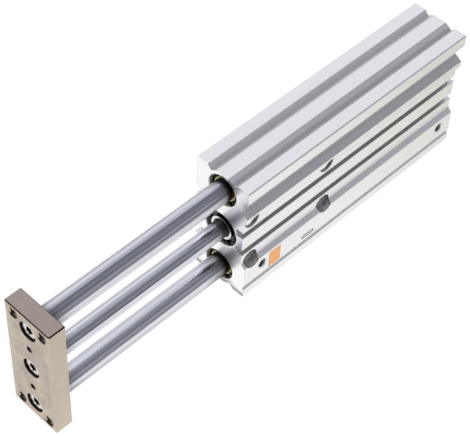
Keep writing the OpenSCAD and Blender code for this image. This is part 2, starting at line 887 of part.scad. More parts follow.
// A flat rubber ring on one face of the piston
module bumper(x) {
    color([0.16, 0.16, 0.17])
        turned_x(x, mid_z, [
            [rod_r + piston_gap, 0], [rod_r + bumper_width, 0],
            [rod_r + bumper_width, bumper_t], [rod_r + piston_gap, bumper_t]
        ]);
}

module rod_end_bumper() {
    bumper(piston_front);
}

module head_end_bumper() {
    bumper(stack_x);
}

body_block();
rod_cover();
rod_cover_gasket();
rod_bush();
rod_seal();
front_retaining_ring();
head_cover();
head_cover_gasket();
rear_retaining_ring();
upper_front_bush();
upper_rear_bush();
lower_front_bush();
lower_rear_bush();
upper_wiper();
lower_wiper();
upper_scraper();
lower_scraper();
upper_wiper_ring();
lower_wiper_ring();
port_plugs();
end_plate();
piston_rod();
upper_guide_rod();
lower_guide_rod();
piston_rod_screw();
upper_guide_screw();
lower_guide_screw();
piston();
piston_seal();
magnet();
magnet_holder();
rod_end_bumper();
head_end_bumper();
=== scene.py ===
import math

import bmesh
import bpy
from mathutils import Matrix, Vector


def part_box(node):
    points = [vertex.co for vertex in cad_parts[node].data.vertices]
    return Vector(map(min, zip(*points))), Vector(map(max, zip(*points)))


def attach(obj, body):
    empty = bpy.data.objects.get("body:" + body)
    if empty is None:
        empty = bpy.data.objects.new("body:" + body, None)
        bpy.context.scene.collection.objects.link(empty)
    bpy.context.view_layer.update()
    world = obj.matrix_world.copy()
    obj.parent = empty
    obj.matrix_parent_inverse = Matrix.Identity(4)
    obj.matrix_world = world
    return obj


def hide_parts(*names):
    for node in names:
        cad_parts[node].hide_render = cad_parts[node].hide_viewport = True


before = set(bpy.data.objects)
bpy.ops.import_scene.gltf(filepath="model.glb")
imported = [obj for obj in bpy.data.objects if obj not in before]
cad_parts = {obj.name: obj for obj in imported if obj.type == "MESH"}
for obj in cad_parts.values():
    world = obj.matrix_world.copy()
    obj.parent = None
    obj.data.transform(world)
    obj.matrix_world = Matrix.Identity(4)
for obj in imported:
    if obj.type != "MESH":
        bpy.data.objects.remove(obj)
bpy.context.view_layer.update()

# Camera
# The photograph was taken from over the plate's end, about 0.64 m away, with a long lens.
mm = 0.001
camera_place = Vector((366.651, 280.779, 515.792)) * mm
aim_point = Vector((58.319, 0.173, 32)) * mm
camera_roll = math.radians(3.2517)
camera = bpy.data.objects.new("camera", bpy.data.cameras.new("camera"))
camera.data.sensor_width = 36
camera.data.lens = 119.45
camera.data.clip_start = 10 * mm
camera.data.clip_end = 20
look = (aim_point - camera_place).to_track_quat("-Z", "Y").to_matrix().to_4x4()
camera.matrix_world = Matrix.Translation(camera_place) @ look @ Matrix.Rotation(camera_roll, 4, "Z")
bpy.context.scene.collection.objects.link(camera)
bpy.context.scene.camera = camera


# Body
# One length of extruded 6000 series aluminium with a clear anodised skin over fine die lines.
# Its two ends are milled after it is cut off, and all bores, ports and holes are machined into it.
# Slots and bored pockets are a little rougher, and they are painted darker where their walls close in, a
# painted shade.
def linear(code):
    """An sRGB hex colour as linear light with alpha."""
    channels = [int(code[i:i + 2], 16) / 255 for i in (0, 2, 4)]
    return [c / 12.92 if c <= 0.04045 else ((c + 0.055) / 1.055) ** 2.4 for c in channels] + [1]


def add_node(tree, kind, inputs=None, **settings):
    """Adds one node: settings are its properties, inputs are values or the sockets that feed it."""
    node = tree.nodes.new(kind)
    for name, value in settings.items():
        setattr(node, name, value)
    for socket, value in (inputs or {}).items():
        if isinstance(value, bpy.types.NodeSocket):
            tree.links.new(value, node.inputs[socket])
        else:
            node.inputs[socket].default_value = value
    return node


def start_finish(name, metallic, roughness):
    """A new material with its node tree, its shader and its object coordinates."""
    material = bpy.data.materials.new(name)
    material.use_nodes = True
    tree = material.node_tree
    shader = tree.nodes["Principled BSDF"]
    shader.inputs["Metallic"].default_value = metallic
    shader.inputs["Roughness"].default_value = roughness
    place = add_node(tree, "ShaderNodeTexCoord").outputs["Object"]
    return material, tree, shader, place


def drawn_grain(tree, place, sizes, detail, roughness=0.5):
    """Uneven lines as a die, rolls or a belt leave them, of a real size along each axis."""
    stretched = add_node(tree, "ShaderNodeMapping", {
        "Vector": place, "Scale": [1 / size for size in sizes]
    }).outputs[0]
    return add_node(tree, "ShaderNodeTexNoise", {
        "Vector": stretched, "Scale": 1, "Detail": detail, "Roughness": roughness
    }).outputs[0]


def cutter_rings(tree, place, centre, pitch, wander=0):
    """Rings round a line along X through the centre, as a mill or a lathe leaves them."""
    pitch_at_scale_one = math.pi / 10
    from_centre = add_node(tree, "ShaderNodeMapping", {"Vector": place, "Location": -centre}).outputs[0]
    return add_node(tree, "ShaderNodeTexWave", {
        "Vector": from_centre, "Scale": pitch_at_scale_one / pitch, "Distortion": wander
    }, wave_type="RINGS", rings_direction="X").outputs["Fac"]


def squareness(tree, axis):
    """One on faces square to the axis, zero on faces along it."""
    normal = add_node(tree, "ShaderNodeTexCoord").outputs["Normal"]
    along = add_node(tree, "ShaderNodeSeparateXYZ", {0: normal}).outputs[axis]
    return add_node(tree, "ShaderNodeMath", {0: along}, operation="ABSOLUTE").outputs[0]


def open_share(tree, reach, shut, clear, own_walls=False):
    """Zero where walls within reach leave a spot less of its sky than shut, one where more than clear."""
    light = add_node(tree, "ShaderNodeAmbientOcclusion", {"Distance": reach},
        samples=16, only_local=own_walls).outputs["AO"]
    return add_node(tree, "ShaderNodeMapRange", {
        "Value": light, "From Min": shut, "From Max": clear
    }).outputs[0]


def worked_surface(tree, marks, depth, broken_edge, strength=1):
    """The normal of worked metal: marks of this depth, and edges broken by this radius."""
    rounded = add_node(tree, "ShaderNodeBevel", {"Radius": broken_edge}, samples=6).outputs[0]
    return add_node(tree, "ShaderNodeBump", {
        "Height": marks, "Strength": strength, "Distance": depth, "Normal": rounded
    }).outputs[0]


def dress(material, *names):
    """Gives CAD nodes their finish."""
    for name in names:
        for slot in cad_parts[name].material_slots:
            slot.material = material


# Die lines and mill marks are finer on the real body, and are drawn this coarse so that they show.
die_line_width = 0.35 * mm
die_band_width = 3.5 * mm
die_line_length = 110 * mm
die_line_depth = 0.0035 * mm
mill_pitch = 2.827 * mm
mill_centre = Vector((0, -46, 30)) * mm
mill_depth_share = 0.12
body_edge = 0.55 * mm
pocket_reach = 5 * mm
rod_shade_reach = 7 * mm
square_from = 0.9
skin_metallic = 0.84
cut_metallic = 0.93
cut_roughness = 0.27
pocket_roughness = 0.3
anodised, tree, shader, place = start_finish("clear_anodised_aluminium", skin_metallic, cut_roughness)
die_lines = drawn_grain(tree, place, (die_line_length, die_line_width, die_line_width), 4, 0.65)
die_bands = drawn_grain(tree, place, (die_line_length, die_band_width, die_band_width), 2)
mill_marks = add_node(tree, "ShaderNodeMath", {
    0: cutter_rings(tree, place, mill_centre, mill_pitch, 0.6), 1: mill_depth_share
}, operation="MULTIPLY").outputs[0]
end_face = add_node(tree, "ShaderNodeMath", {
    0: squareness(tree, "X"), 1: square_from
}, operation="GREATER_THAN").outputs[0]
in_the_open = open_share(tree, pocket_reach, 0.5, 0.92, own_walls=True)
marks = add_node(tree, "ShaderNodeMix", {"Factor": end_face, "A": die_lines, "B": mill_marks}).outputs[0]
normal = worked_surface(tree, marks, die_line_depth, body_edge, in_the_open)
tree.links.new(normal, shader.inputs["Normal"])
anodic_share = add_node(tree, "ShaderNodeMix", {
    "Factor": end_face, "A": skin_metallic, "B": cut_metallic
}).outputs[0]
tree.links.new(anodic_share, shader.inputs["Metallic"])
skin = add_node(tree, "ShaderNodeMix", {
    "Factor": die_bands, "A": linear("E9E9E9"), "B": linear("F1F1F0")
}, data_type="RGBA").outputs["Result"]
# Painted shade: the milled end face is painted dark near the rods and bright away from them.
end_face_with_painted_shade = add_node(tree, "ShaderNodeMix", {
    "Factor": open_share(tree, rod_shade_reach, 0.58, 0.78), "A": linear("8E8F8C"), "B": linear("FAFAFA")
}, data_type="RGBA").outputs["Result"]
outside = add_node(tree, "ShaderNodeMix", {
    "Factor": end_face, "A": skin, "B": end_face_with_painted_shade
}, data_type="RGBA").outputs["Result"]
# Painted shade: slots and pockets take the darker CECFD1 where their own walls close in.
tint = add_node(tree, "ShaderNodeMix", {
    "Factor": in_the_open, "A": linear("CECFD1"), "B": outside
}, data_type="RGBA").outputs["Result"]
tree.links.new(tint, shader.inputs["Base Color"])
skin_roughness = add_node(tree, "ShaderNodeMapRange", {
    "Value": die_bands, "From Min": 0.3, "From Max": 0.7, "To Min": 0.2, "To Max": 0.3
}).outputs[0]
outer_roughness = add_node(tree, "ShaderNodeMix", {
    "Factor": end_face, "A": skin_roughness, "B": cut_roughness
}).outputs[0]
roughness = add_node(tree, "ShaderNodeMix", {
    "Factor": in_the_open, "A": pocket_roughness, "B": outer_roughness
}).outputs[0]
tree.links.new(roughness, shader.inputs["Roughness"])
dress(anodised, "body_block")


# Port plugs
# Two grub screws of blackened steel close the side ports that this cylinder doesn't use.
# Each is turned flush into the underside with sealant on its thread.
grit_size = 0.4 * mm
phosphated, tree, shader, place = start_finish("phosphated_steel", 1, 0.42)
grit = add_node(tree, "ShaderNodeTexNoise", {
    "Vector": place, "Scale": 1 / grit_size, "Detail": 3
}).outputs[0]
tint = add_node(tree, "ShaderNodeMix", {
    "Factor": grit, "A": linear("2C2D30"), "B": linear("47484C")
}, data_type="RGBA").outputs["Result"]
tree.links.new(tint, shader.inputs["Base Color"])
dress(phosphated, "port_plugs")


# Covers
# Both covers are turned from aluminium and anodised dark grey, and close the piston bore.
# The lathe leaves fine rings, drawn wider than they are so that they show, and the front of the rod
# cover's collar is faced off bright afterwards.
turning_pitch = 1.1 * mm
turning_depth = 0.006 * mm
faced_depth = 0.05 * mm
rod_low, rod_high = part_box("piston_rod")
rod_axis = Vector((0, 0, (rod_low.z + rod_high.z) / 2))
turned_dark, tree, shader, place = start_finish("dark_anodised_turned_aluminium", 1, 0.34)
turning = cutter_rings(tree, place, rod_axis, turning_pitch, 0.3)
turned = add_node(tree, "ShaderNodeBump", {
    "Height": turning, "Strength": 1, "Distance": turning_depth
}).outputs[0]
tree.links.new(turned, shader.inputs["Normal"])
dark_grey = add_node(tree, "ShaderNodeMix", {
    "Factor": turning, "A": linear("4A4C50"), "B": linear("5C5E62")
}, data_type="RGBA").outputs["Result"]
along = add_node(tree, "ShaderNodeSeparateXYZ", {0: place}).outputs["X"]
collar_face = add_node(tree, "ShaderNodeMath", {
    0: along, 1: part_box("rod_cover")[1].x - faced_depth
}, operation="GREATER_THAN").outputs[0]
tint = add_node(tree, "ShaderNodeMix", {
    "Factor": collar_face, "A": dark_grey, "B": linear("E6E6E4")
}, data_type="RGBA").outputs["Result"]
tree.links.new(tint, shader.inputs["Base Color"])
dress(turned_dark, "rod_cover", "head_cover")


# Gaskets, seals, wipers and bumpers
# Moulded nitrile rubber, matt black with the faint skin that the mould leaves.
# Gaskets sit in the covers, seals and wipers run on the rods, and bumpers soften each end stop.
mould_grain = 0.25 * mm
mould_depth = 0.01 * mm
nitrile, tree, shader, place = start_finish("nitrile_rubber", 0, 0.55)
mould_skin = add_node(tree, "ShaderNodeTexNoise", {
    "Vector": place, "Scale": 1 / mould_grain, "Detail": 4
}).outputs[0]
moulded = add_node(tree, "ShaderNodeBump", {
    "Height": mould_skin, "Strength": 1, "Distance": mould_depth
}).outputs[0]
tree.links.new(moulded, shader.inputs["Normal"])
tint = add_node(tree, "ShaderNodeMix", {
    "Factor": mould_skin, "A": linear("161617"), "B": linear("232325")
}, data_type="RGBA").outputs["Result"]
tree.links.new(tint, shader.inputs["Base Color"])
dress(nitrile, "rod_cover_gasket", "head_cover_gasket", "rod_seal", "piston_seal", "upper_wiper",
    "lower_wiper", "rod_end_bumper", "head_end_bumper")


# Bushes
# Sintered bronze sleeves soaked in oil, pressed into the body and into the rod cover.
# The pressed powder leaves fine open pores in the warm brown metal.
pore_size = 0.3 * mm
pore_depth = 0.012 * mm
bronze, tree, shader, place = start_finish("sintered_bronze", 1, 0.38)
pores = add_node(tree, "ShaderNodeTexVoronoi", {
    "Vector": place, "Scale": 1 / pore_size
}).outputs["Distance"]
pitted = add_node(tree, "ShaderNodeBump", {
    "Height": pores, "Strength": 1, "Distance": pore_depth
}).outputs[0]
tree.links.new(pitted, shader.inputs["Normal"])
tint = add_node(tree, "ShaderNodeMix", {
    "Factor": pores, "A": linear("8A6A3C"), "B": linear("B89258")
}, data_type="RGBA").outputs["Result"]
tree.links.new(tint, shader.inputs["Base Color"])
dress(bronze, "rod_bush", "upper_front_bush", "upper_rear_bush", "lower_front_bush", "lower_rear_bush")


# Retaining rings and scrapers
# Stamped spring steel rings, phosphated black at the covers and brassy yellow at the wipers, which
# snap into grooves in the bores. The brass scraper rings in front of the wipers are turned.
rolled_grain = (0.3 * mm, 0.3 * mm, 4 * mm)
rolled_depth = 0.004 * mm
small_edge = 0.12 * mm
corner_shade_reach = 3 * mm


def grained_metal_with_painted_shade(name, dark, light, roughness):
    """Rolled or drawn metal: a stretched grain, uneven plating and painted shade in the corners."""
    material, tree, shader, place = start_finish(name, 1, roughness)
    rolled = drawn_grain(tree, place, rolled_grain, 3)
    plated = add_node(tree, "ShaderNodeMix", {
        "Factor": rolled, "A": linear(dark), "B": linear(light)
    }, data_type="RGBA").outputs["Result"]
    # Painted shade: near black where walls close in, in sockets and corners.
    tint = add_node(tree, "ShaderNodeMix", {
        "Factor": open_share(tree, corner_shade_reach, 0.4, 0.85), "A": linear("0E0E0F"), "B": plated
    }, data_type="RGBA").outputs["Result"]
    tree.links.new(tint, shader.inputs["Base Color"])
    normal = worked_surface(tree, rolled, rolled_depth, small_edge)
    tree.links.new(normal, shader.inputs["Normal"])
    return material


dress(grained_metal_with_painted_shade("phosphated_spring_steel", "34353A", "4E5056", 0.34),
    "front_retaining_ring", "rear_retaining_ring")
dress(grained_metal_with_painted_shade("yellow_plated_spring_wire", "A89C70", "E0D6AC", 0.1),
    "upper_wiper_ring", "lower_wiper_ring")
dress(grained_metal_with_painted_shade("turned_brass", "CDB77A", "EFE2B4", 0.1), "upper_scraper", "lower_scraper")


# Piston
# Turned aluminium halves clamp a ring magnet behind the seal, all riveted to the end of the rod.
# It is hidden in the bore, so only its own finish is made here.
speck_size = 0.3 * mm
turned_bright, tree, shader, place = start_finish("turned_aluminium", 1, 0.3)
turning = cutter_rings(tree, place, rod_axis, turning_pitch)
tint = add_node(tree, "ShaderNodeMix", {
    "Factor": turning, "A": linear("C6C7C9"), "B": linear("D9DADB")
}, data_type="RGBA").outputs["Result"]
tree.links.new(tint, shader.inputs["Base Color"])
dress(turned_bright, "piston", "magnet_holder")
ferrite, tree, shader, place = start_finish("bonded_ferrite", 0, 0.5)
specks = add_node(tree, "ShaderNodeTexNoise", {
    "Vector": place, "Scale": 1 / speck_size, "Detail": 5
}).outputs[0]
tint = add_node(tree, "ShaderNodeMix", {
    "Factor": specks, "A": linear("1D1D20"), "B": linear("3A3A3D")
}, data_type="RGBA").outputs["Result"]
tree.links.new(tint, shader.inputs["Base Color"])
dress(ferrite, "magnet")


# Rods
# Ground steel bars with a hard chrome layer, polished to a mirror with a cool tone.
# Centreless grinding leaves faint rings round each bar, drawn wider than they are, over the long
# streaks of the drawn steel. Next to the seals a film of oil stays on the bars and makes them rougher,
# and there they are also painted dark, a painted shade.
grinding_grain = (0.5 * mm, 40 * mm, 40 * mm)
grinding_depth = 0.00015 * mm
streak_grain = (260 * mm, 0.8 * mm, 0.8 * mm)
streak_depth = 0.06 * mm
oil_and_shade_reach = 14 * mm
oil_roughness = 0.4
chrome, tree, shader, place = start_finish("hard_chrome_on_ground_steel", 1, 0.1)
grinding = drawn_grain(tree, place, grinding_grain, 3)
streaks = drawn_grain(tree, place, streak_grain, 5, 0.7)
drawn = add_node(tree, "ShaderNodeBump", {
    "Height": streaks, "Strength": 1, "Distance": streak_depth
}).outputs[0]
ground = add_node(tree, "ShaderNodeBump", {
    "Height": grinding, "Strength": 1, "Distance": grinding_depth, "Normal": drawn
}).outputs[0]
tree.links.new(ground, shader.inputs["Normal"])
streak_share = add_node(tree, "ShaderNodeMapRange", {
    "Value": streaks, "From Min": 0.36, "From Max": 0.56
}).outputs[0]
streaked = add_node(tree, "ShaderNodeMix", {
    "Factor": streak_share, "A": linear("AEB0BB"), "B": linear("E9EAEF")
}, data_type="RGBA").outputs["Result"]
clear_of_oil_and_shade = open_share(tree, oil_and_shade_reach, 0.5, 0.97)
# Painted shade: the bars are painted dark near the body, where oil also makes them rougher.
tint = add_node(tree, "ShaderNodeMix", {
    "Factor": clear_of_oil_and_shade, "A": linear("3E3C3A"), "B": streaked
}, data_type="RGBA").outputs["Result"]
tree.links.new(tint, shader.inputs["Base Color"])
ground_roughness = add_node(tree, "ShaderNodeMapRange", {
    "Value": grinding, "From Min": 0.3, "From Max": 0.7, "To Min": 0.1, "To Max": 0.16
}).outputs[0]
roughness = add_node(tree, "ShaderNodeMix", {
    "Factor": clear_of_oil_and_shade, "A": oil_roughness, "B": ground_roughness
}).outputs[0]
tree.links.new(roughness, shader.inputs["Roughness"])
dress(chrome, "piston_rod", "upper_guide_rod", "lower_guide_rod")


# End plate
# Ground steel with an electroless nickel layer, which gives it a warm grey with a silky sheen.
# Belt grinding leaves short lines along the plate. The plating is cloudy and yellower toward the long
# sides, and the faces square to Z are darker. Bored holes are painted dark, a painted shade, and the
# chamfers round the ends carry a painted dark reflection.
belt_grain = (0.3 * mm, 0.3 * mm, 9 * mm)
belt_depth = 0.012 * mm
cloud_size = 7 * mm
yellow_from = 9 * mm
yellow_to = 14 * mm
hole_shade_reach = 1.6 * mm
edge_slope = 0.7
edge_spread = 0.2
nickel, tree, shader, place = start_finish("electroless_nickel_on_steel", 1, 0.44)
belt_lines = drawn_grain(tree, place, belt_grain, 4)
normal = worked_surface(tree, belt_lines, belt_depth, small_edge)
tree.links.new(normal, shader.inputs["Normal"])
clouds = add_node(tree, "ShaderNodeTexNoise", {
    "Vector": place, "Scale": 1 / cloud_size, "Detail": 4
}).outputs[0]
cloud_share = add_node(tree, "ShaderNodeMapRange", {
    "Value": clouds, "From Min": 0.35, "From Max": 0.68
}).outputs[0]
cloudy = add_node(tree, "ShaderNodeMix", {
    "Factor": cloud_share, "A": linear("ADA096"), "B": linear("D0C5B3")
}, data_type="RGBA").outputs["Result"]
from_middle = add_node(tree, "ShaderNodeMath", {
    0: add_node(tree, "ShaderNodeSeparateXYZ", {0: place}).outputs["Y"]
}, operation="ABSOLUTE").outputs[0]
yellow_share = add_node(tree, "ShaderNodeMapRange", {
    "Value": from_middle, "From Min": yellow_from, "From Max": yellow_to, "To Max": 0.8
}).outputs[0]
plated = add_node(tree, "ShaderNodeMix", {
    "Factor": yellow_share, "A": cloudy, "B": linear("D7CBB8")
}, data_type="RGBA").outputs["Result"]
slope = squareness(tree, "Z")
# Faces square to Z take a darker colour.
faces_square_to_z = add_node(tree, "ShaderNodeMath", {
    0: slope, 1: square_from
}, operation="GREATER_THAN").outputs[0]
darker_on_z_faces = add_node(tree, "ShaderNodeMix", {
    "Factor": faces_square_to_z, "A": plated, "B": linear("A99C93")
}, data_type="RGBA").outputs["Result"]
# Painted reflection: faces sloped like the chamfers are painted dark.
broken_edge = add_node(tree, "ShaderNodeMath", {
    0: slope, 1: edge_slope, 2: edge_spread
}, operation="COMPARE").outputs[0]
with_painted_dark_chamfers = add_node(tree, "ShaderNodeMix", {
    "Factor": broken_edge, "A": darker_on_z_faces, "B": linear("4F4640")
}, data_type="RGBA").outputs["Result"]
# Painted shade: bored holes and their chamfers are painted dark where their walls close in.
tint = add_node(tree, "ShaderNodeMix", {
    "Factor": open_share(tree, hole_shade_reach, 0.62, 0.9), "A": linear("3A342E"), "B": with_painted_dark_chamfers
}, data_type="RGBA").outputs["Result"]
tree.links.new(tint, shader.inputs["Base Color"])
roughness = add_node(tree, "ShaderNodeMapRange", {
    "Value": clouds, "From Min": 0.3, "From Max": 0.7, "To Min": 0.38, "To Max": 0.5
}).outputs[0]
tree.links.new(roughness, shader.inputs["Roughness"])
dress(nickel, "end_plate")


# Plate screws
# Three socket head cap screws of zinc plated steel join the plate to the rods, heads just below its
# face. Each head is cold formed with a knurled rim and a hexagon socket with a coned floor.
knurl_teeth = 32
knurl_depth = 0.18 * mm
rim_bevel = 0.6 * mm
socket_flats = 3.4 * mm
socket_depth = 2.6 * mm
socket_cone = 0.9 * mm
socket_tip_r = 0.085 * mm
socket_mouth_r = 2.1 * mm
socket_bevel = 0.2 * mm
head_height = 5 * mm
shank_r = 2.08 * mm
shank_bevel = 0.4 * mm
sharp_from = math.radians(28)


def make_piece(name, bm, material):
    """The Blender object of a finished mesh."""
    mesh = bpy.data.meshes.new(name)
    bm.to_mesh(mesh)
    bm.free()
    mesh.materials.append(material)
    piece = bpy.data.objects.new(name, mesh)
    bpy.context.scene.collection.objects.link(piece)
    return piece


def screw_loop(bm, radius, height, knurled=0, six_sided=0):
    """The edges of one loop round a screw's axis, knurled or pulled onto a hexagon where asked."""
    loop = bmesh.ops.create_circle(bm, segments=6 * knurl_teeth, radius=radius)["verts"]
    for v in loop:
        turn = math.atan2(v.co.y, v.co.x)
        groove = knurled * knurl_depth * (0.5 - 0.5 * math.cos(turn * knurl_teeth))
        corner = six_sided * (1 / math.cos(turn % (math.pi / 3) - math.pi / 6) - 1)
        v.co.xy *= 1 - groove / radius + corner
        v.co.z = height
    return list({edge for v in loop for edge in v.link_edges})


def cap_screw(name, node):
    """A socket head cap screw along X in the place of a CAD screw."""
    low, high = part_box(node)
    head_r = (high.y - low.y) / 2
    top = high.x
    under = high.x - head_height
    bm = bmesh.new()
    loops = [
        screw_loop(bm, shank_r - shank_bevel, low.x),
        screw_loop(bm, shank_r, low.x + shank_bevel),
        screw_loop(bm, shank_r, under),
        screw_loop(bm, head_r, under, knurled=1),
        screw_loop(bm, head_r, top - rim_bevel, knurled=1),
        screw_loop(bm, head_r - rim_bevel / 3, top - rim_bevel / 3),
        screw_loop(bm, head_r - rim_bevel, top),
        screw_loop(bm, socket_mouth_r, top),
        screw_loop(bm, socket_flats / 2, top - socket_bevel, six_sided=1),
        screw_loop(bm, socket_flats / 2, top - socket_depth, six_sided=1),
        screw_loop(bm, socket_tip_r, top - socket_depth - socket_cone)
    ]
    for first, second in zip(loops, loops[1:]):
        bmesh.ops.bridge_loops(bm, edges=first + second)
    bmesh.ops.holes_fill(bm, edges=loops[0] + loops[-1], sides=0)
    bmesh.ops.recalc_face_normals(bm, faces=bm.faces[:])
    stand = Matrix.Translation((0, 0, (low.z + high.z) / 2)) @ Matrix.Rotation(math.pi / 2, 4, "Y")
    bmesh.ops.transform(bm, matrix=stand, verts=bm.verts[:])
    piece = make_piece(name, bm, plated_screw)
    piece.data.set_sharp_from_angle(angle=sharp_from)
    for polygon in piece.data.polygons:
        polygon.use_smooth = True
    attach(piece, "carriage")
    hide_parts(node)


# The screws carry this painted shade in their sockets and round their heads.
plated_screw = grained_metal_with_painted_shade("zinc_plated_screw_steel", "D0CCC4", "E8E4DC", 0.24)
for place_name in ("piston_rod", "upper_guide", "lower_guide"):
    cap_screw(place_name + "_cap_screw", place_name + "_screw")


# Tapped threads
# Coarse threads cut into the drilled ports and into the corner holes of the plate.
# Each is a helical ridge, bare metal like the wall that it is cut in.
thread_pitch = 0.8 * mm
thread_half_width = 0.36 * mm
thread_rise = 0.3 * mm
thread_steps = 32
tap_r = 2.1 * mm
smear_size = 0.6 * mm


def cut_thread(name, mouth, turn, depth, finish, body):
    """A ridge wound down a hole that opens at mouth, with turn taking its axis from +Z."""
    bm = bmesh.new()
    upright = Matrix.Translation((tap_r, 0, -thread_half_width)) @ Matrix.Rotation(math.pi / 2, 4, "X")
    bmesh.ops.create_circle(bm, segments=4, radius=thread_half_width, matrix=upright)
    bmesh.ops.scale(bm, vec=(thread_rise / thread_half_width, 1, 1), verts=bm.verts[:],
        space=Matrix.Translation((-tap_r, 0, 0)))
    turns = int((depth - 2 * thread_half_width) / thread_pitch)
    bmesh.ops.spin(bm, geom=bm.verts[:] + bm.edges[:], cent=(0, 0, 0), axis=(0, 0, 1),
        dvec=(0, 0, -thread_pitch / thread_steps), angle=2 * math.pi * turns, steps=turns * thread_steps)
    bmesh.ops.holes_fill(bm, edges=[edge for edge in bm.edges if edge.is_boundary], sides=0)
    bmesh.ops.recalc_face_normals(bm, faces=bm.faces[:])
    bmesh.ops.transform(bm, matrix=Matrix.Translation(mouth) @ turn, verts=bm.verts[:])
    piece = make_piece(name, bm, finish)
    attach(piece, body)


def tapped_metal(name, dark, light):
    """Metal torn open by a tap: bright on the crests, smeared with dark cutting oil."""
    material, tree, shader, place = start_finish(name, 1, 0.3)
    smears = add_node(tree, "ShaderNodeTexNoise", {
        "Vector": place, "Scale": 1 / smear_size, "Detail": 3
    }).outputs[0]
    smear_share = add_node(tree, "ShaderNodeMapRange", {
        "Value": smears, "From Min": 0.42, "From Max": 0.58
    }).outputs[0]
    tint = add_node(tree, "ShaderNodeMix", {
        "Factor": smear_share, "A": linear(dark), "B": linear(light)
    }, data_type="RGBA").outputs["Result"]
    tree.links.new(tint, shader.inputs["Base Color"])
    return material


plate_hole_side = 4.5 * mm
plate_hole_end = 4 * mm
plate_tap_chamfer = 0.7 * mm
plate_low, plate_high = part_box("end_plate")
plate_tap_depth = plate_high.x - plate_low.x - plate_tap_chamfer
bare_steel = tapped_metal("tapped_bare_steel", "4E4D46", "E2E2D4")
along_rods = Matrix.Rotation(math.pi / 2, 4, "Y")
for row, z in (("lower", plate_low.z + plate_hole_end), ("upper", plate_high.z - plate_hole_end)):
    for side, y in (("near", plate_high.y - plate_hole_side), ("far", plate_low.y + plate_hole_side)):
        mouth = (plate_high.x - plate_tap_chamfer, y, z)
        cut_thread("plate_thread_%s_%s" % (row, side), mouth, along_rods, plate_tap_depth,
            bare_steel, "carriage")

port_z = 13 * mm
port_from_front = 11 * mm
port_from_rear = 8 * mm
port_depth = 4.5 * mm
port_chamfer = 0.45 * mm
body_low, body_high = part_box("body_block")
bare_aluminium = tapped_metal("tapped_bare_aluminium", "3A3832", "9C9C98")
across = Matrix.Rotation(-math.pi / 2, 4, "X")
for end, x in (("front", body_high.x - port_from_front), ("rear", body_low.x + port_from_rear)):
    mouth = (x, body_high.y - port_chamfer, port_z)
    cut_thread("port_thread_" + end, mouth, across, port_depth - port_chamfer,
        bare_aluminium, "cylinder_body")


# Printed marks
# Pad printed ink on the lower land of the ported face: a plain orange block and an empty frame.
# Nothing is written there, and both marks are a few hundredths of a millimetre thick.
ink_height = 0.03 * mm
blotch_size = 1.2 * mm


def ink(name, code):
    """Slightly uneven printing ink."""
    material, tree, shader, place = start_finish(name, 0, 0.4)
    blotches = add_node(tree, "ShaderNodeTexNoise", {
        "Vector": place, "Scale": 1 / blotch_size, "Detail": 3
    }).outputs[0]
    cover = add_node(tree, "ShaderNodeMapRange", {
        "Value": blotches, "From Min": 0.35, "From Max": 0.65, "To Min": 0.85, "To Max": 1
    }).outputs[0]
    tint = add_node(tree, "ShaderNodeMix", {
        "Factor": cover, "A": linear("FFFFFF"), "B": linear(code)
    }, data_type="RGBA").outputs["Result"]
    tree.links.new(tint, shader.inputs["Base Color"])
    return material


def printed_mark(name, bm, material):
    """Lays a flat mark, drawn in x and z, on the broad face."""
    lay = Matrix.Translation((0, body_high.y, 0)) @ Matrix.Rotation(math.pi / 2, 4, "X")
    bmesh.ops.transform(bm, matrix=lay, verts=bm.verts[:])
    flat = bmesh.ops.extrude_face_region(bm, geom=bm.faces[:])
    raised = [v for v in flat["geom"] if isinstance(v, bmesh.types.BMVert)]
    bmesh.ops.translate(bm, verts=raised, vec=(0, ink_height, 0))
    bmesh.ops.recalc_face_normals(bm, faces=bm.faces[:])
    piece = make_piece(name, bm, material)
    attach(piece, "cylinder_body")


block_centre = Vector((48.2, 12, 0)) * mm
block_size = Vector((7, 9.2, 1)) * mm
bm = bmesh.new()
bmesh.ops.create_grid(bm, x_segments=1, y_segments=1, size=0.5)
bmesh.ops.scale(bm, vec=block_size, verts=bm.verts[:])
bmesh.ops.translate(bm, vec=block_centre, verts=bm.verts[:])
printed_mark("orange_block_print", bm, ink("orange_printing_ink", "FBA84E"))

frame_centre = Vector((27.7, 9.4, 0)) * mm
frame_length = 7.4 * mm
frame_height = 2.2 * mm
frame_line = 0.65 * mm
bm = bmesh.new()
bmesh.ops.create_circle(bm, cap_ends=True, segments=48, radius=frame_height / 2)
for v in bm.verts:
    v.co.x += math.copysign((frame_length - frame_height) / 2, v.co.x)
middle = bm.faces[:]
bmesh.ops.inset_region(bm, faces=middle, thickness=frame_line, use_boundary=True, use_even_offset=True)
bmesh.ops.delete(bm, geom=middle, context="FACES")
bmesh.ops.translate(bm, vec=frame_centre, verts=bm.verts[:])
printed_mark("empty_frame_print", bm, ink("black_printing_ink", "2A2B2C"))


# Floor and light
# A white floor under a white sky, one large soft lamp, and two dark pieces that only show in metal:
# a folded panel overhead that draws the stripes along the rods, and a wall behind the camera.
def seen_directly(tree):
    """One where a ray comes from the camera or off polished metal or glass, else zero."""
    path = add_node(tree, "ShaderNodeLightPath").outputs
    sheen = add_node(tree, "ShaderNodeMath", {
        0: path["Is Camera Ray"], 1: path["Is Glossy Ray"]
    }, operation="ADD").outputs[0]
    return add_node(tree, "ShaderNodeMath", {
        0: sheen, 1: path["Is Transmission Ray"]
    }, operation="ADD", use_clamp=True).outputs[0]


